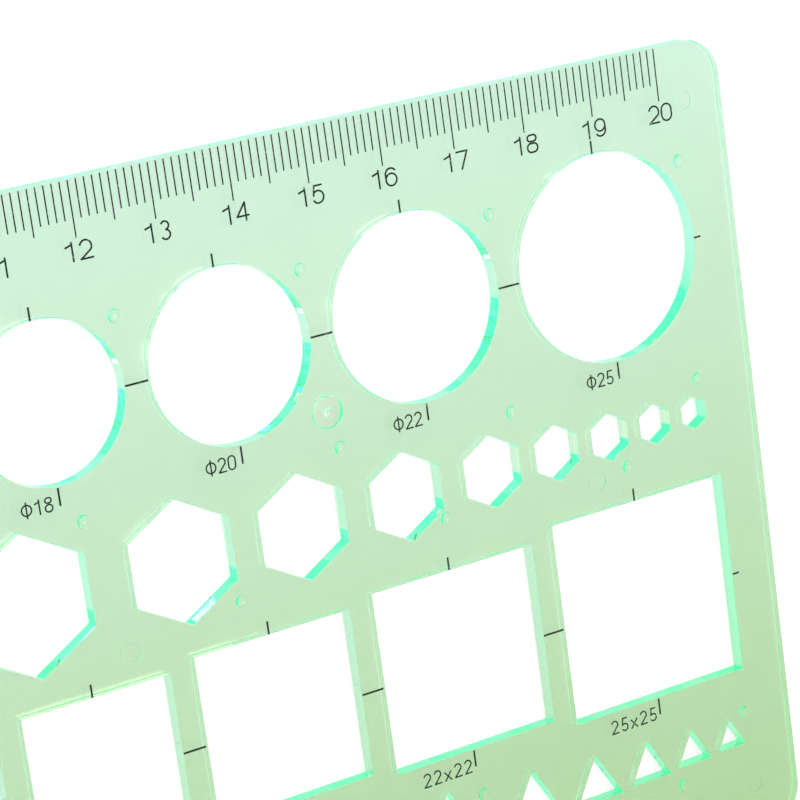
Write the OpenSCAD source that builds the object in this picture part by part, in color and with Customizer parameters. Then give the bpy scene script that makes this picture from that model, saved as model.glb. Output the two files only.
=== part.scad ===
// Drawing template: one moulded plastic sheet with circle, hexagon, square and triangle
// openings, riser pips underneath, and a centimetre scale and size marks printed on top.
// Millimetres. X runs along the scale, Y points to the scale's edge, Z is up.
// The origin is below the middle of the sheet, at the level of the pips' tips.

/* [Sheet] */
// Length of the sheet along the scale
sheet_length = 219; // [215:1:240]
// Height of the sheet, across the rows of openings
sheet_height = 103.6; // [103:0.2:120]
// Thickness of the sheet
sheet_thickness = 2; // [1.2:0.1:3]
// Radius of the four outer corners
corner_radius = 5; // [2:0.5:8]

/* [Openings] */
// Room for the pencil: how much wider an opening is than its nominal size
pencil_allowance = 1; // [0.6:0.1:1.2]
// Distance between neighbouring circle or square openings, measured between their nominal shapes
size_gap = 4.3; // [4:0.1:4.4]
// Distance from the scale's edge to the centre line of the circles
circle_row_drop = 24.2; // [24:0.1:25]
// Distance from the scale's edge to the centre line of the hexagons
hexagon_row_drop = 46.4; // [46.2:0.1:46.6]
// Distance from the scale's edge to the centre line of the squares
square_row_drop = 68.3; // [68:0.1:68.6]
// Distance from the scale's edge to the middle of the triangles
triangle_row_drop = 90; // [89.8:0.1:90.4]

/* [Moulding marks] */
// Diameter of a riser pip
pip_diameter = 1.8; // [1.2:0.1:2]
// Height of a riser pip
pip_height = 0.3; // [0.3:0.1:0.8]
// Diameter of an ejector pin's mark
ejector_diameter = 2.5; // [1.5:0.1:3]
// Depth of an ejector pin's mark
ejector_depth = 0.16; // [0.04:0.02:0.2]
// Diameter of the pocket round the gate
gate_diameter = 4; // [3:0.1:4.4]
// Depth of the pocket round the gate
gate_depth = 0.8; // [0.4:0.1:1]

/* [Print] */
// Thickness of the printed ink
ink_thickness = 0.04; // [0.02:0.01:0.1]
// Width of a scale line
scale_line = 0.16; // [0.12:0.02:0.3]
// Length of a millimetre line
millimetre_line_length = 4.45; // [3:0.05:5]
// Length of a half-centimetre line
half_centimetre_line_length = 5.5; // [5:0.1:6]
// Length of a centimetre line
centimetre_line_length = 6.5; // [6:0.1:6.6]
// Height of the scale's numerals
numeral_height = 2.3; // [1.5:0.1:2.4]
// Height of the size labels
label_height = 1.8; // [1.2:0.1:1.9]

/* [Hidden] */

$fn = 96;
eps = 0.01;
hair = 0.002;

sheet_color = [0.74, 0.92, 0.78, 0.75];
ink_color = [0.12, 0.17, 0.14];

scale_length = 200;
underside_z = pip_height;
top_z = underside_z + sheet_thickness;

// The scale's zero and its edge, from the middle of the sheet
scale_x0 = -scale_length / 2;
edge_y = sheet_height / 2;
// How far the marks and labels landed to the left of and below the openings they belong to
print_shift = [-0.55, -0.3];
scale_line_start = 0.2;

circle_row_y = edge_y - circle_row_drop;
hexagon_row_y = edge_y - hexagon_row_drop;
square_row_y = edge_y - square_row_drop;
triangle_row_y = edge_y - triangle_row_drop;

// Nominal sizes, from the right-hand end of the sheet to the left
round_sizes = [25, 22, 20, 18, 16, 14, 12, 10, 8, 6, 5, 4];
// A hexagon's size is across its corners; a triangle fits in a circle of its size
corner_sizes = [3, 4, 5, 6, 8, 10, 12, 14, 16, 18, 20, 22, 25];
// Plastic left between each hexagon and the next one to its left
hexagon_bridges = [2, 2, 2.2, 2.4, 3.5, 3.8, 3.8, 5.4, 5.4, 5.4, 5.4, 5.4];
first_round_x = scale_x0 + 189.85;
first_hexagon_x = scale_x0 + 199.8;

hexagon_corner_radius = 0.25;
square_corner_radius = 0.2;
triangle_corner_radius = 0.15;

// Running total of a list up to, and not including, one entry
function total(list, count, i = 0) = i >= count ? 0 : list[i] + total(list, count, i + 1);

function opening(size) = size + pencil_allowance;
function round_pitch(i) = (round_sizes[i] + round_sizes[i + 1]) / 2 + size_gap;
round_pitches = [for (i = [0 : len(round_sizes) - 2]) round_pitch(i)];
function round_x(i) = first_round_x - total(round_pitches, i);

// Width across the flats of a hexagon opening
function hexagon_width(i) = corner_sizes[i] * cos(30) + pencil_allowance;
function hexagon_pitch(i) = (hexagon_width(i) + hexagon_width(i + 1)) / 2 + hexagon_bridges[i];
hexagon_pitches = [for (i = [0 : len(corner_sizes) - 2]) hexagon_pitch(i)];
function corner_x(i) = first_hexagon_x - total(hexagon_pitches, i);
// Distance from the middle of a triangle opening to its corners
function triangle_reach(i) = corner_sizes[i] / 2 + pencil_allowance;

// Riser pips, as distances from the scale's zero and down from its edge
pip_places = [
    [202.7, 14.8], [174.4, 15.7], [147.9, 16.6], [123.6, 16.6], [101.6, 17.2], [81.4, 17.8],
    [62.8, 18.6], [46.4, 18.6], [21, 17.6], [-5.6, 14.6],
    [201.7, 42.6], [173.9, 40.2], [149.8, 38.6], [115.9, 38.8], [75.2, 38], [50.6, 37.6],
    [30.4, 33.4], [-5.6, 38.6],
    [189.8, 51.1], [162.8, 50.8], [134, 53.3], [97.3, 55.4], [74.6, 57.6], [51.2, 57.8],
    [25.8, 60.6], [-5.6, 60.4],
    [203, 87.6], [192.4, 94.4], [162.8, 86.4], [134.6, 86.2], [96.4, 84], [75.1, 82.8],
    [50.8, 82.4], [25.6, 80.2], [-5.6, 84],
];
// Ejector pin marks, as distances from the scale's zero and down from its edge
ejector_places = [
    [204.2, 7.4], [184.9, 51.8], [118.9, 55.2], [203.2, 97.4], [134.7, 97.6], [60.2, 59.6],
    [78.6, 98.4], [-4.4, 7.4], [-4.4, 97.4],
];
gate_place = [148.6, 33.9];
gate_nub_diameter = 1;
gate_nub_height = 0.5;

// ---- Outlines -------------------------------------------------------------

function direction(angle) = [cos(angle), sin(angle)];

// A rectangle round its own middle, with round corners
module rounded_rectangle(width, height, radius) {
    square([width, height - 2 * radius], center = true);
    square([width - 2 * radius, height], center = true);
    for (sx = [-1, 1], sy = [-1, 1])
        translate([sx * (width / 2 - radius), sy * (height / 2 - radius)]) circle(radius);
}

// A regular polygon with its first corner up and its corners rounded. The sides are drawn a
// hair inside the rounds, so that each side crosses its rounds and doesn't just touch them.
module rounded_polygon(sides, reach, radius) {
    centre_reach = reach - radius / cos(180 / sides);
    side_distance = radius - hair;
    centres = [for (i = [0 : sides - 1]) centre_reach * direction(90 + 360 / sides * i)];
    polygon([for (i = [0 : sides - 1], k = [-0.5, 0.5])
        centres[i] + side_distance * direction(90 + 360 / sides * (i + k))]);
    for (c = centres) translate(c) circle(radius, $fn = 48);
}

module circle_openings() {
    for (i = [0 : len(round_sizes) - 1])
        translate([round_x(i), circle_row_y]) circle(d = opening(round_sizes[i]));
}

module square_openings() {
    for (i = [0 : len(round_sizes) - 1]) {
        side = opening(round_sizes[i]);
        translate([round_x(i), square_row_y]) rounded_rectangle(side, side, square_corner_radius);
    }
}

module hexagon_openings() {
    for (i = [0 : len(corner_sizes) - 1])
        translate([corner_x(i), hexagon_row_y])
            rounded_polygon(6, hexagon_width(i) / 2 / cos(30), hexagon_corner_radius);
}

module triangle_openings() {
    for (i = [0 : len(corner_sizes) - 1])
        translate([corner_x(i), triangle_row_y])
            rounded_polygon(3, triangle_reach(i), triangle_corner_radius);
}

// ---- Moulded sheet --------------------------------------------------------

// Puts something at each place of a list, measured from the scale's zero and its edge
module at_places(places) {
    for (place = places)
        translate([scale_x0 + place[0], edge_y - place[1], 0]) children();
}

// A low dome that points down from the underside, on a root inside the sheet
module riser_pip() {
    pip_radius = pip_diameter / 2;
    dome_radius = (pip_radius * pip_radius + pip_height * pip_height) / (2 * pip_height);
    root = sheet_thickness / 4;
    intersection() {
        translate([0, 0, dome_radius]) sphere(dome_radius);
        cylinder(r = pip_radius, h = pip_height + root);
    }
}

module template_sheet() {
    color(sheet_color) {
        difference() {
            translate([0, 0, underside_z])
                linear_extrude(sheet_thickness)
                    difference() {
                        rounded_rectangle(sheet_length, sheet_height, corner_radius);
                        circle_openings();
                        square_openings();
                        hexagon_openings();
                        triangle_openings();
                    }
            translate([0, 0, underside_z - eps]) {
                at_places(ejector_places) cylinder(d = ejector_diameter, h = ejector_depth + eps);
                at_places([gate_place]) cylinder(d = gate_diameter, h = gate_depth + eps);
            }
        }
        at_places(pip_places) riser_pip();
        translate([0, 0, underside_z + gate_depth - gate_nub_height])
            at_places([gate_place]) cylinder(d = gate_nub_diameter, h = gate_nub_height + eps);
    }
}

// ---- Print ----------------------------------------------------------------

// A flat outline printed on the sheet's top face
module ink() {
    color(ink_color) translate([0, 0, top_z]) linear_extrude(ink_thickness) children();
}

// Scale lines of one length, at places in millimetres from the scale's zero
module scale_lines(places, length) {
    for (mm = places)
        translate([scale_x0 + mm - scale_line / 2, edge_y - scale_line_start - length])
            square([scale_line, length]);
}

module millimetre_lines() {
    places = [for (mm = [0 : scale_length]) if (mm % 5 != 0) mm];
    ink() scale_lines(places, millimetre_line_length);
}

module half_centimetre_lines() {
    ink() scale_lines([5 : 10 : scale_length], half_centimetre_line_length);
}

module centimetre_lines() {
    ink() scale_lines([0 : 10 : scale_length], centimetre_line_length);
}

// ---- Numerals, each in a box of width w and height h, drawn with a line of width s

// A straight stroke from one point to another
module stroke(from, to, s) {
    run = to - from;
    translate(from) rotate(atan2(run[1], run[0])) translate([0, -s / 2]) square([norm(run), s]);
}

// A round stroke about the centre c, from the angle a to the angle b, at most 270 degrees on
module bow(c, r, a, b, s) {
    far = 2 * (r + s);
    third = (b - a) / 3;
    translate(c) intersection() {
        difference() {
            circle(r + s / 2);
            circle(r - s / 2);
        }
        polygon([[0, 0], for (k = [0 : 3]) far * direction(a + k * third)]);
    }
}

// A closed stroke round a box with fully round ends
module loop(c, w, h, s) {
    end = min(w, h) / 2;
    translate(c) difference() {
        loop_outline(w, h, end);
        loop_outline(w - 2 * s, h - 2 * s, end - s);
    }
}

module loop_outline(w, h, end) {
    span = [w / 2 - end, h / 2 - end];
    translate(span) circle(end);
    translate(-span) circle(end);
    square([max(w - 2 * end, eps), max(h - (w > h ? 0 : 2 * end), eps)], center = true);
    square([max(w - (w > h ? 2 * end : 0), eps), max(h - 2 * end, eps)], center = true);
}

module digit(d, w, h, s) {
    r = (w - s) / 2;
    mid = w / 2;
    lift = h - s / 2 - r;
    if (d == 0) loop([mid, h / 2], w, h, s);
    if (d == 1) {
        translate([0.56 * w, 0]) square([s, h]);
        stroke([0.1 * w, 0.74 * h], [0.56 * w + s / 2, 0.86 * h], s);
    }
    if (d == 2) {
        bow([mid, lift], r, -38, 165, s);
        stroke([mid, lift] + r * direction(-38), [0.45 * s, s / 2], s);
        square([w, s]);
    }
    if (d == 3) {
        top_r = 0.235 * h - s / 4;
        low_r = (h - s) / 2 - top_r;
        bow([mid, h - s / 2 - top_r], top_r, -90, 155, s);
        bow([mid, s / 2 + low_r], low_r, -155, 90, s);
    }
    if (d == 4) {
        translate([0.66 * w, 0]) square([s, h]);
        translate([0, 0.25 * h]) square([w, s]);
        stroke([0.3 * s, 0.25 * h + s / 2], [0.66 * w + s / 2, h - 0.4 * s], s);
    }
    if (d == 5) {
        bow([mid, s / 2 + r], r, -155, 90, s);
        bow([mid, s / 2 + r], r, 90, 140, s);
        stroke([0.09 * w + s / 2, 0.42 * h], [0.2 * w + s / 2, h - s / 2], s);
        translate([0.2 * w, h - s]) square([0.7 * w, s]);
    }
    if (d == 6) six(w, h, s);
    if (d == 7) {
        translate([0, h - s]) square([w, s]);
        stroke([w - s / 2, h - s / 2], [0.36 * w, 0], s);
    }
    if (d == 8) {
        loop([mid, 0.28 * h], w, 0.56 * h, s);
        loop([mid, 0.76 * h + s / 4], 0.88 * w, 0.48 * h + s / 2 - s, s);
    }
    if (d == 9) translate([w, h]) rotate(180) six(w, h, s);
}

module six(w, h, s) {
    r = (w - s) / 2;
    lift = h - s / 2 - r;
    loop([w / 2, s / 2 + r], w, w, s);
    translate([0, s / 2 + r]) square([s, lift - r - s / 2]);
    bow([w / 2, lift], r, 30, 180, s);
}

// A whole number below 100, from the point where its first digit begins
module number(value, w, h, s, pitch) {
    if (value > 9) digit(floor(value / 10), w, h, s);
    translate([value > 9 ? pitch : 0, 0]) digit(value % 10, w, h, s);
}

function number_width(value, w, pitch) = value > 9 ? pitch + w : w;

// Diameter sign: a ring with an upright stroke through it
module diameter_sign(w, h, s) {
    loop([w / 2, h / 2], w, w, s);
    translate([w / 2 - s / 2, -0.04 * h]) square([s, 1.08 * h]);
}

module times_sign(w, h, s) {
    stroke([0.05 * w, 0], [0.95 * w, 0.66 * h], s);
    stroke([0.05 * w, 0.66 * h], [0.95 * w, 0], s);
}

numeral_width = 0.73 * numeral_height;
numeral_pitch = 0.82 * numeral_height;
numeral_stroke = 0.22;
numeral_gap = 0.35;

module scale_numerals() {
    drop = scale_line_start + centimetre_line_length + numeral_gap + numeral_height;
    ink() for (cm = [0 : scale_length / 10]) {
        half = number_width(cm, numeral_width, numeral_pitch) / 2;
        translate([scale_x0 + 10 * cm - half, edge_y - drop])
            number(cm, numeral_width, numeral_height, numeral_stroke, numeral_pitch);
    }
}

mark_line = 0.24;
top_mark_length = 1.6;
low_mark_length = 2.1;
// Clear space between a mark and an opening: close to it, and on the side the print shifted from
near_clearance = 0.05;
far_clearance = 0.3;
low_clearance = 0.15;
end_mark_length = 1;

function opening_left(i) = round_x(i) - opening(round_sizes[i]) / 2;
function opening_right(i) = round_x(i) + opening(round_sizes[i]) / 2;
function mark_x(i) = round_x(i) + print_shift[0];

// Lines that point at an opening's middle from above and below, and along the row
module centre_marks(row_y) {
    last = len(round_sizes) - 1;
    for (i = [0 : last]) {
        reach = opening(round_sizes[i]) / 2;
        translate([mark_x(i) - mark_line / 2, row_y + reach + near_clearance])
            square([mark_line, top_mark_length]);
        translate([mark_x(i) - mark_line / 2, row_y - reach - low_clearance - low_mark_length])
            square([mark_line, low_mark_length]);
    }
    level = row_y + print_shift[1] - mark_line / 2;
    for (i = [0 : last - 1]) {
        left = opening_right(i + 1) + near_clearance;
        translate([left, level]) square([opening_left(i) - far_clearance - left, mark_line]);
    }
    translate([opening_right(0) + near_clearance, level]) square([end_mark_length, mark_line]);
    translate([opening_left(last) - far_clearance - end_mark_length, level])
        square([end_mark_length, mark_line]);
}

module circle_centre_marks() {
    ink() centre_marks(circle_row_y);
}

module square_centre_marks() {
    ink() centre_marks(square_row_y);
}

label_width = 0.6 * label_height;
label_pitch = 0.72 * label_height;
label_stroke = 0.18;
sign_width = 0.78 * label_height;
sign_gap = 0.2;
// A circle's label: clear space to the centre mark on its right, and below the opening
circle_label_gap = 0.75;
circle_label_drop = 0.85;

module circle_size_labels() {
    ink() for (i = [0 : len(round_sizes) - 1]) {
        size = round_sizes[i];
        wide = number_width(size, label_width, label_pitch);
        left = mark_x(i) - mark_line / 2 - circle_label_gap - wide;
        drop = opening(size) / 2 + circle_label_drop + label_height;
        translate([left, circle_row_y - drop]) {
            number(size, label_width, label_height, label_stroke, label_pitch);
            translate([-sign_width - sign_gap, 0])
                diameter_sign(sign_width, label_height, label_stroke);
        }
    }
}

// A square's label is set more widely, and lower
tracked_pitch = 0.82 * label_height;
square_label_gap = 0.45;
square_label_drop = 1.05;

module square_size_labels() {
    ink() for (i = [0 : len(round_sizes) - 1]) {
        size = round_sizes[i];
        wide = number_width(size, label_width, tracked_pitch);
        left = mark_x(i) - mark_line / 2 - square_label_gap - wide;
        drop = opening(size) / 2 + square_label_drop + label_height;
        translate([left, square_row_y - drop]) {
            number(size, label_width, label_height, label_stroke, tracked_pitch);
            translate([-tracked_pitch, 0]) {
                times_sign(label_width, label_height, label_stroke);
                translate([-tracked_pitch + label_width - wide, 0])
                    number(size, label_width, label_height, label_stroke, tracked_pitch);
            }
        }
    }
}

template_sheet();
millimetre_lines();
half_centimetre_lines();
centimetre_lines();
scale_numerals();
circle_centre_marks();
circle_size_labels();
square_centre_marks();
square_size_labels();
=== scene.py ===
"""Looks of a drawing template: one clear green plastic moulding with black print, on a pale floor.

The sheet is built here as one closed shell with rounded edges, round the CAD sheet's own box.
The print keeps its CAD shapes. Layout values are in millimetres; the scene is in metres.
"""

import math

import bpy
from mathutils import Matrix, Vector
from mathutils.geometry import tessellate_polygon


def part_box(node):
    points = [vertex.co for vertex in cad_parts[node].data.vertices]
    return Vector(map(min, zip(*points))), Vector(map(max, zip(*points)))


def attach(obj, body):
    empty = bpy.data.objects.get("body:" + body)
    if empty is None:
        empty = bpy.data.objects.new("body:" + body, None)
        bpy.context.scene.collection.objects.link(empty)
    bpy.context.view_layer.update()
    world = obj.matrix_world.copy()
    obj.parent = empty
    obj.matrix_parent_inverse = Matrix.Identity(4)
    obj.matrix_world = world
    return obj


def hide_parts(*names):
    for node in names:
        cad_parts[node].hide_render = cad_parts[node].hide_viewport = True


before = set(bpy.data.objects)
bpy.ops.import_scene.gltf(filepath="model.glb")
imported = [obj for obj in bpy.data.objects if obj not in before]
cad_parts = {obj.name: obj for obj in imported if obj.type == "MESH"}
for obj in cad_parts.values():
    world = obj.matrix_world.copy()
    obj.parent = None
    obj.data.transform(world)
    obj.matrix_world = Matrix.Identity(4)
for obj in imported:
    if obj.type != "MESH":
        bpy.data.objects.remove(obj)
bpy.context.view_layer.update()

MM = 0.001

# ---- Layout of the sheet, in millimetres, as the CAD part has it ------------------------

CORNER_RADIUS = 5.0
PENCIL_ALLOWANCE = 1.0
SIZE_GAP = 4.3
CIRCLE_ROW_DROP = 24.2
HEXAGON_ROW_DROP = 46.4
SQUARE_ROW_DROP = 68.3
TRIANGLE_ROW_DROP = 90.0
ROUND_SIZES = (25, 22, 20, 18, 16, 14, 12, 10, 8, 6, 5, 4)
CORNER_SIZES = (3, 4, 5, 6, 8, 10, 12, 14, 16, 18, 20, 22, 25)
HEXAGON_BRIDGES = (2, 2, 2.2, 2.4, 3.5, 3.8, 3.8, 5.4, 5.4, 5.4, 5.4, 5.4)
HEXAGON_CORNER_RADIUS = 0.25
HEXAGON_FLAT_SHARE = math.cos(math.radians(30))  # half the width across flats, per reach
SQUARE_CORNER_RADIUS = 0.2
TRIANGLE_CORNER_RADIUS = 0.15
SCALE_ZERO_X = -100.0
FIRST_ROUND_X = SCALE_ZERO_X + 189.85
FIRST_CORNER_X = SCALE_ZERO_X + 199.8

# Moulding marks on the underside, as distances from the scale's zero and down from its edge
PIP_DIAMETER = 1.8
PIP_PLACES = (
    (202.7, 14.8), (174.4, 15.7), (147.9, 16.6), (123.6, 16.6), (101.6, 17.2), (81.4, 17.8),
    (62.8, 18.6), (46.4, 18.6), (21, 17.6), (-5.6, 14.6),
    (201.7, 42.6), (173.9, 40.2), (149.8, 38.6), (115.9, 38.8), (75.2, 38), (50.6, 37.6),
    (30.4, 33.4), (-5.6, 38.6),
    (189.8, 51.1), (162.8, 50.8), (134, 53.3), (97.3, 55.4), (74.6, 57.6), (51.2, 57.8),
    (25.8, 60.6), (-5.6, 60.4),
    (203, 87.6), (192.4, 94.4), (162.8, 86.4), (134.6, 86.2), (96.4, 84), (75.1, 82.8),
    (50.8, 82.4), (25.6, 80.2), (-5.6, 84),
)
EJECTOR_DIAMETER = 2.5
EJECTOR_DEPTH = 0.16
EJECTOR_PLACES = (
    (204.2, 7.4), (184.9, 51.8), (118.9, 55.2), (203.2, 97.4), (134.7, 97.6), (60.2, 59.6),
    (78.6, 98.4), (-4.4, 7.4), (-4.4, 97.4),
)
GATE_PLACE = (148.6, 33.9)
GATE_DIAMETER = 4.0
GATE_DEPTH = 0.8
GATE_NUB_DIAMETER = 1.3
GATE_NUB_HEIGHT = 0.3

# ---- Levels and edges of the sheet, in metres, from the frame -----------------------------

sheet_low, sheet_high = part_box("template_sheet")
EDGE_Y = sheet_high.y
PIP_TIP_Z = sheet_low.z
PIP_HEIGHT = 0.3 * MM
UNDERSIDE_Z = PIP_TIP_Z + PIP_HEIGHT
# The sheet reaches a hair into the print, so that no air is left between them
PRINT_BITE = 0.005 * MM
TOP_Z = sheet_high.z + PRINT_BITE
TOP_ROUNDING = 0.05 * MM
EDGE_ROUNDING = 0.1 * MM
EJECTOR_ROUNDING = 0.04 * MM
SWELLING_FILLET = 0.15 * MM
GATE_FILLET = 0.15 * MM

# ---- How finely the round shapes are divided -----------------------------------------------

ROUNDING_STEPS = 4
GATE_FILLET_STEPS = 3
SWELLING_STEPS = 6
SHEET_CORNER_STEPS = 24
OPENING_CORNER_STEPS = 6
CIRCLE_STEPS = 64
CIRCLE_STEPS_PER_SIZE = 4
SWELLING_SIDES = 40
EJECTOR_SIDES = 48
GATE_SIDES = 64


def place(across, down):
    """A place on the sheet, from millimetres along the scale and down from its edge."""
    return Vector(((SCALE_ZERO_X + across) * MM, EDGE_Y - down * MM))


# ---- Outlines: lists of (point, direction to the air), with the plastic on their left ------


def turn(degrees):
    """The direction at this angle."""
    angle = math.radians(degrees)
    return Vector((math.cos(angle), math.sin(angle)))


def round_corners(arcs, radius, steps):
    """An outline through round corners, each given as (centre, first angle, last angle)."""
    points = []
    for centre, first, last in arcs:
        for k in range(steps + 1):
            out = turn(first + (last - first) * k / steps)
            points.append((centre + radius * out, out))
    return points


def circle(centre, radius, steps):
    return [(centre + radius * turn(360 * k / steps), turn(360 * k / steps)) for k in range(steps)]


def regular_polygon(centre, reach, sides, first_corner, radius):
    """Corners lie at reach before they are rounded, the first of them in one direction."""
    half = 180 / sides
    middle_reach = reach - radius / math.cos(math.radians(half))
    arcs = []
    for i in range(sides):
        angle = first_corner + 2 * half * i
        arcs.append((centre + middle_reach * turn(angle), angle - half, angle + half))
    return round_corners(arcs, radius, OPENING_CORNER_STEPS)


def opening(outline):
    """Turns an outline into the edge of a hole: the air is inside it."""
    return [(point, -out) for point, out in reversed(outline)]


def sheet_outline():
    x, y = sheet_high.x - CORNER_RADIUS * MM, sheet_high.y - CORNER_RADIUS * MM
    corners = ((x, -y, -90), (x, y, 0), (-x, y, 90), (-x, -y, 180))
    arcs = [(Vector((cx, cy)), first, first + 90) for cx, cy, first in corners]
    return round_corners(arcs, CORNER_RADIUS * MM, SHEET_CORNER_STEPS)


def places_along(first_x, widths, bridges):
    """The middles of openings of these widths, set leftwards with these bridges between them."""
    x = first_x
    middles = [x]
    for width, next_width, bridge in zip(widths, widths[1:], bridges):
        x -= (width + next_width) / 2 + bridge
        middles.append(x)
    return middles


def opening_outlines():
    """The edges of all openings, row by row."""
    outlines = []
    round_middles = places_along(FIRST_ROUND_X, ROUND_SIZES, [SIZE_GAP] * len(ROUND_SIZES))
    for x, size in zip(round_middles, ROUND_SIZES):
        width = (size + PENCIL_ALLOWANCE) * MM
        steps = CIRCLE_STEPS + CIRCLE_STEPS_PER_SIZE * size
        middle = Vector((x * MM, EDGE_Y - CIRCLE_ROW_DROP * MM))
        outlines.append(circle(middle, width / 2, steps))
        middle = Vector((x * MM, EDGE_Y - SQUARE_ROW_DROP * MM))
        outlines.append(
            regular_polygon(middle, width / math.sqrt(2), 4, 45, SQUARE_CORNER_RADIUS * MM)
        )
    across_flats = [s * HEXAGON_FLAT_SHARE + PENCIL_ALLOWANCE for s in CORNER_SIZES]
    corner_middles = places_along(FIRST_CORNER_X, across_flats, HEXAGON_BRIDGES)
    for x, size, width in zip(corner_middles, CORNER_SIZES, across_flats):
        middle = Vector((x * MM, EDGE_Y - HEXAGON_ROW_DROP * MM))
        reach = width / 2 / HEXAGON_FLAT_SHARE * MM
        outlines.append(regular_polygon(middle, reach, 6, 90, HEXAGON_CORNER_RADIUS * MM))
        middle = Vector((x * MM, EDGE_Y - TRIANGLE_ROW_DROP * MM))
        reach = (size / 2 + PENCIL_ALLOWANCE) * MM
        outlines.append(regular_polygon(middle, reach, 3, 90, TRIANGLE_CORNER_RADIUS * MM))
    return [opening(outline) for outline in outlines]


# ---- Shell: a mesh whose every face corner has its own normal ------------------------------


class Shell:
    """Collects points, faces and the normal at each corner of each face."""

    def __init__(self):
        self.points = []
        self.faces = []
        self.normals = []

    def ring(self, outline, inset, z):
        """A closed row of points, this far into the plastic from an outline."""
        first = len(self.points)
        for point, out in outline:
            flat = point - inset * out
            self.points.append(Vector((flat.x, flat.y, z)))
        return list(range(first, len(self.points)))

    def strip(self, outline, upper, lower, upper_slope, lower_slope):
        """Faces between two rings. A slope is (how much the normal leans out, its Z part)."""
        count = len(outline)
        for i in range(count):
            j = (i + 1) % count
            self.faces.append((upper[i], lower[i], lower[j], upper[j]))
            for k, (lean, rise) in (
                (i, upper_slope), (i, lower_slope), (j, lower_slope), (j, upper_slope)
            ):
                out = outline[k][1]
                self.normals.append((lean * out.x, lean * out.y, rise))

    def profile(self, outline, stations):
        """Strips through stations of (inset, z, lean, rise), top down. Returns the rings."""
        rings = [self.ring(outline, inset, z) for inset, z, _, _ in stations]
        for upper, lower, a, b in zip(rings, rings[1:], stations, stations[1:]):
            self.strip(outline, upper, lower, a[2:], b[2:])
        return rings

    def cap(self, rings, rise):
        """A flat face between rings, facing up (1) or down (-1)."""
        flat = [i for ring in rings for i in ring]
        for a, b, c in tessellate_polygon([[self.points[i] for i in ring] for ring in rings]):
            a, b, c = flat[a], flat[b], flat[c]
            side = (self.points[b] - self.points[a]).cross(self.points[c] - self.points[a]).z
            self.faces.append((a, b, c) if side * rise > 0 else (a, c, b))
            self.normals += [(0, 0, rise)] * 3

    def tip(self, outline, ring, point, slope, rise):
        """A fan from a ring to one point below or above it."""
        self.points.append(Vector(point))
        apex = len(self.points) - 1
        for i in range(len(ring)):
            j = (i + 1) % len(ring)
            self.faces.append((ring[i], apex, ring[j]))
            for k in (i, None, j):
                out = outline[k][1] if k is not None else Vector((0, 0))
                lean, z = slope if k is not None else (0, rise)
                self.normals.append((lean * out.x, lean * out.y, z))

    def object(self, name):
        mesh = bpy.data.meshes.new(name)
        mesh.from_pydata(self.points, [], self.faces, shade_flat=False)
        mesh.normals_split_custom_set(self.normals)
        made = bpy.data.objects.new(name, mesh)
        bpy.context.scene.collection.objects.link(made)
        return made


def rounded_edge(z, radius, side):
    """Stations round the sheet's edge at this level, its top edge (1) or its lower one (-1)."""
    stations = []
    for k in range(ROUNDING_STEPS + 1):
        lean, rise = turn(90 - 90 * k / ROUNDING_STEPS)
        stations.append(
            (radius * (1 - lean), z - side * radius * (1 - rise), lean, side * rise)
        )
    return stations if side > 0 else stations[::-1]


def swell_stations(root, height, tip_z):
    """Stations of a dome that hangs down, from the fillet at its root to its tip."""
    steps = SWELLING_STEPS
    slope = 2 * math.degrees(math.atan(height / root))
    dome = root / math.sin(math.radians(slope)) - SWELLING_FILLET
    stations = []
    for k in range(steps):
        lean, rise = turn(-90 + slope * k / steps)
        z = tip_z + height - SWELLING_FILLET * (1 + rise)
        stations.append((SWELLING_FILLET * lean, z, lean, rise))
    for k in range(steps):
        lean, rise = turn(-90 + slope * (1 - k / steps))
        stations.append((root - dome * lean, tip_z + dome * (1 + rise), lean, rise))
    return stations


def make_sheet():
    """The whole sheet as one closed shell: walls, moulding marks, then the two faces."""
    shell = Shell()
    top_rings, bottom_rings = [], []
    wall = rounded_edge(TOP_Z, TOP_ROUNDING, 1) + rounded_edge(UNDERSIDE_Z, EDGE_ROUNDING, -1)
    for outline in [sheet_outline(), *opening_outlines()]:
        rings = shell.profile(outline, wall)
        top_rings.append(rings[0])
        bottom_rings.append(rings[-1])
    for spot in PIP_PLACES:
        root = make_swelling(shell, place(*spot), PIP_DIAMETER, PIP_HEIGHT, PIP_TIP_Z)
        bottom_rings.append(root)
    for spot in EJECTOR_PLACES:
        outline = opening(circle(place(*spot), EJECTOR_DIAMETER / 2 * MM, EJECTOR_SIDES))
        foot = [(0, UNDERSIDE_Z + EJECTOR_DEPTH * MM, 1, 0)]
        rings = shell.profile(outline, foot + rounded_edge(UNDERSIDE_Z, EJECTOR_ROUNDING, -1))
        shell.cap([rings[0]], -1)
        bottom_rings.append(rings[-1])
    bottom_rings.append(make_gate(shell))
    shell.cap(top_rings, 1)
    shell.cap(bottom_rings, -1)
    return shell.object("clear_sheet")


def make_swelling(shell, middle, diameter, height, tip_z):
    """A soft round swelling on a face that looks down. Returns its root ring.

    The diameter is in millimetres, as in the layout. The height and the tip are in metres.
    """
    outline = circle(middle, diameter / 2 * MM, SWELLING_SIDES)
    stations = swell_stations(diameter / 2 * MM, height, tip_z)
    rings = shell.profile(outline, stations)
    shell.tip(outline, rings[-1], (*middle, tip_z), stations[-1][2:], -1)
    return rings[0]


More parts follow.
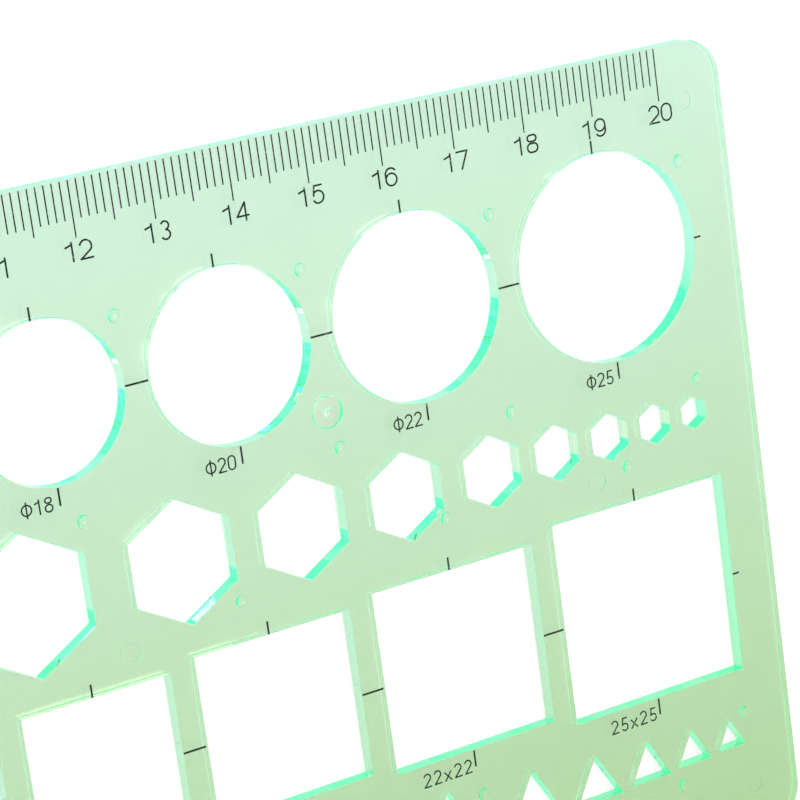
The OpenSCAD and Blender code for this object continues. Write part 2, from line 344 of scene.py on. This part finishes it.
def make_gate(shell):
    """The pocket where the plastic was let in, with the broken nub in it. Returns its rim."""
    middle = place(*GATE_PLACE)
    floor_z = UNDERSIDE_Z + GATE_DEPTH * MM
    rim = opening(circle(middle, GATE_DIAMETER / 2 * MM, GATE_SIDES))
    # The pocket's ceiling curves down into its wall
    stations = []
    for k in range(GATE_FILLET_STEPS + 1):
        lean, rise = turn(-90 + 90 * k / GATE_FILLET_STEPS)
        inset = -GATE_FILLET * (1 - lean)
        stations.append((inset, floor_z - GATE_FILLET * (1 + rise), lean, rise))
    pocket = shell.profile(rim, stations + rounded_edge(UNDERSIDE_Z, EDGE_ROUNDING, -1))
    height = GATE_NUB_HEIGHT * MM
    nub = make_swelling(shell, middle, GATE_NUB_DIAMETER, height, floor_z - height)
    shell.cap([pocket[0], nub], -1)
    return pocket[-1]


# ---- Materials -----------------------------------------------------------------------------


def new_material(name):
    """A new material, its node tree and its Principled shader."""
    material = bpy.data.materials.new(name)
    material.use_nodes = True
    tree = material.node_tree
    return material, tree, tree.nodes["Principled BSDF"]


def add_node(tree, kind, **settings):
    """A new node. Each setting names a property of the node, or else one of its inputs."""
    node = tree.nodes.new(kind)
    for key, value in settings.items():
        if hasattr(node, key):
            setattr(node, key, value)
        else:
            node.inputs[key.replace("_", " ")].default_value = value
    return node


def ramp(tree, source, stops):
    """A colour ramp behind a socket. Stops are (place, colour)."""
    node = tree.nodes.new("ShaderNodeValToRGB")
    elements = node.color_ramp.elements
    while len(elements) < len(stops):
        elements.new(0.5)
    for element, (at, color) in zip(elements, stops):
        element.position = at
        element.color = (*color, 1)
    tree.links.new(source, node.inputs["Fac"])
    return node


def grey(level):
    return (level, level, level)


PLASTIC_IOR = 1.57
# The plastic's own green in two copies: lit at the scale's edge, and darker with painted shade at
# the far edge
SHADED_TINT = (0.63, 0.645, 0.35)
LIT_TINT = (0.9, 0.86, 0.75)
CLOUD_SHARE = 0.1
# Painted glow of the plastic, in place of light that is piped through the sheet to its edges
PAINTED_GLOW_COLOR = (0.1, 0.95, 0.82, 1)
PAINTED_GLOW_STRENGTH = 0.04
ABSORPTION_COLOR = (0.0, 0.98, 0.84, 1)
ABSORPTION_DENSITY = 105


def clear_plastic():
    """Tinted clear plastic: refraction, absorption by depth, painted shade towards the far edge,
    faint clouds, waves and a painted glow.
    """
    material, tree, shader = new_material("clear_green_plastic")
    shader.inputs["Transmission Weight"].default_value = 1
    shader.inputs["IOR"].default_value = PLASTIC_IOR
    coords = tree.nodes.new("ShaderNodeTexCoord")
    cloud = add_node(tree, "ShaderNodeTexNoise", Scale=22, Detail=3, Roughness=0.5)
    tree.links.new(coords.outputs["Object"], cloud.inputs["Vector"])
    # Painted shade: the plastic's own green turns slowly darker and yellower from the scale's edge
    # to the far edge, as if the light fell off across the sheet, with faint clouds in it
    axes = tree.nodes.new("ShaderNodeSeparateXYZ")
    tree.links.new(coords.outputs["Object"], axes.inputs["Vector"])
    across = add_node(tree, "ShaderNodeMapRange", From_Min=-EDGE_Y, From_Max=EDGE_Y)
    tree.links.new(axes.outputs["Y"], across.inputs["Value"])
    blend = add_node(tree, "ShaderNodeMix", data_type="FLOAT", Factor=CLOUD_SHARE)
    tree.links.new(across.outputs["Result"], blend.inputs["A"])
    tree.links.new(cloud.outputs["Fac"], blend.inputs["B"])
    tint_with_painted_shade = ramp(tree, blend.outputs["Result"], [(0.05, SHADED_TINT), (0.95, LIT_TINT)])
    tree.links.new(tint_with_painted_shade.outputs["Color"], shader.inputs["Base Color"])
    haze = ramp(tree, cloud.outputs["Fac"], [(0.3, grey(0.01)), (0.7, grey(0.03))])
    tree.links.new(haze.outputs["Color"], shader.inputs["Roughness"])
    waves = add_node(tree, "ShaderNodeTexNoise", Scale=90, Detail=2, Roughness=0.4)
    tree.links.new(coords.outputs["Object"], waves.inputs["Vector"])
    bump = add_node(tree, "ShaderNodeBump", Strength=0.06, Distance=0.001)
    tree.links.new(waves.outputs["Fac"], bump.inputs["Height"])
    tree.links.new(bump.outputs["Normal"], shader.inputs["Normal"])
    # Painted glow: the plastic gives off a faint blue-green light of its own at each bounce,
    # standing in for light that stays in the plastic and comes out of its edges bright
    shader.inputs["Emission Color"].default_value = PAINTED_GLOW_COLOR
    shader.inputs["Emission Strength"].default_value = PAINTED_GLOW_STRENGTH
    absorb = add_node(tree, "ShaderNodeVolumeAbsorption", Density=ABSORPTION_DENSITY)
    absorb.inputs["Color"].default_value = ABSORPTION_COLOR
    tree.links.new(absorb.outputs["Volume"], tree.nodes["Material Output"].inputs["Volume"])
    return material


INK_DARK = (0.003, 0.007, 0.005)
INK_WORN = (0.012, 0.02, 0.015)
PINHOLE = (0.25, 0.42, 0.3)
INK_SPECULAR = 0.2


def printed_ink():
    """Black ink with fine grain: worn patches, and pinholes where the plastic shows."""
    material, tree, shader = new_material("printed_ink")
    coords = tree.nodes.new("ShaderNodeTexCoord")
    grain = add_node(tree, "ShaderNodeTexNoise", Scale=2500, Detail=3, Roughness=0.6)
    tree.links.new(coords.outputs["Object"], grain.inputs["Vector"])
    stops = [(0.3, INK_DARK), (0.64, INK_WORN), (0.7, PINHOLE)]
    tone = ramp(tree, grain.outputs["Fac"], stops)
    shader.inputs["Specular IOR Level"].default_value = INK_SPECULAR
    tree.links.new(tone.outputs["Color"], shader.inputs["Base Color"])
    dull = ramp(tree, grain.outputs["Fac"], [(0.3, grey(0.35)), (0.8, grey(0.6))])
    tree.links.new(dull.outputs["Color"], shader.inputs["Roughness"])
    return material


FLOOR_GLOW = 0.62


def pale_floor():
    """A white table that is lit from within as well, so that the plastic on it looks clear."""
    material, tree, shader = new_material("pale_floor")
    coords = tree.nodes.new("ShaderNodeTexCoord")
    cloud = add_node(tree, "ShaderNodeTexNoise", Scale=4, Detail=2)
    tree.links.new(coords.outputs["Object"], cloud.inputs["Vector"])
    tone = ramp(tree, cloud.outputs["Fac"], [(0.3, grey(0.31)), (0.7, grey(0.33))])
    tree.links.new(tone.outputs["Color"], shader.inputs["Base Color"])
    shader.inputs["Roughness"].default_value = 0.9
    shader.inputs["Emission Color"].default_value = (1, 1, 1, 1)
    shader.inputs["Emission Strength"].default_value = FLOOR_GLOW
    return material


# ---- The object ----------------------------------------------------------------------------

sheet = make_sheet()
sheet.data.materials.append(clear_plastic())
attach(sheet, "root")
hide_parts("template_sheet")

ink = printed_ink()
for name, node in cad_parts.items():
    # Every node but the sheet is print
    if name != "template_sheet":
        node.data.materials.clear()
        node.data.materials.append(ink)

# ---- Floor, light and camera ---------------------------------------------------------------


FLOOR_SIZE = 3.0
WORLD_STRENGTH = 1.0


def make_floor():
    half = FLOOR_SIZE / 2
    corners = [(-half, -half, 0), (half, -half, 0), (half, half, 0), (-half, half, 0)]
    mesh = bpy.data.meshes.new("floor")
    mesh.from_pydata(corners, [], [(0, 1, 2, 3)])
    mesh.materials.append(pale_floor())
    floor = bpy.data.objects.new("floor", mesh)
    bpy.context.scene.collection.objects.link(floor)


def make_world():
    world = bpy.data.worlds.new("studio")
    world.use_nodes = True
    background = world.node_tree.nodes["Background"]
    background.inputs["Color"].default_value = (1, 1, 1, 1)
    background.inputs["Strength"].default_value = WORLD_STRENGTH
    bpy.context.scene.world = world


def make_lamp(name, spot, size, power, color):
    """A square soft lamp that looks at the middle of the floor."""
    data = bpy.data.lights.new(name, "AREA")
    data.shape = "SQUARE"
    data.size = size
    data.energy = power
    data.color = color
    lamp = bpy.data.objects.new(name, data)
    lamp.location = spot
    lamp.rotation_euler = (-Vector(spot)).to_track_quat("-Z", "Y").to_euler()
    # The sheet's top is flat enough to mirror a lamp, and that would hide the print from above
    lamp.visible_glossy = False
    bpy.context.scene.collection.objects.link(lamp)


CAMERA_TARGET = Vector((0.0580, 0.0172, 0.0023))
CAMERA_DISTANCE = 0.3766
CAMERA_AZIMUTH = 154.14
CAMERA_ELEVATION = 57.73
CAMERA_ROLL = 104.37
CAMERA_LENS = 143.0
CAMERA_SENSOR_WIDTH = 36
CAMERA_CLIP_START = 0.01


def make_camera():
    data = bpy.data.cameras.new("camera")
    data.lens = CAMERA_LENS
    data.sensor_width = CAMERA_SENSOR_WIDTH
    data.clip_start = CAMERA_CLIP_START
    level, rise = turn(CAMERA_ELEVATION)
    back = Vector((*(level * turn(CAMERA_AZIMUTH)), rise))
    camera = bpy.data.objects.new("camera", data)
    aim = (-back).to_track_quat("-Z", "Y").to_matrix().to_4x4()
    roll = Matrix.Rotation(math.radians(CAMERA_ROLL), 4, "Z")
    camera.matrix_world = Matrix.Translation(CAMERA_TARGET + CAMERA_DISTANCE * back) @ aim @ roll
    bpy.context.scene.collection.objects.link(camera)
    bpy.context.scene.camera = camera


make_floor()
make_world()
make_lamp("softbox", (-0.05, 0.05, 1.05), 0.8, 8, (1, 1, 1))
make_lamp("warm_fill", (0.25, 0.35, 0.9), 0.4, 4, (1, 0.9, 0.6))
make_camera()
bpy.context.scene.view_settings.view_transform = "Standard"

# Light bounces to and fro in the sheet many times before it leaves at an edge
TRAPPED_LIGHT_BOUNCES = 48
cycles = bpy.context.scene.cycles
cycles.max_bounces = TRAPPED_LIGHT_BOUNCES
cycles.transmission_bounces = TRAPPED_LIGHT_BOUNCES
cycles.glossy_bounces = TRAPPED_LIGHT_BOUNCES
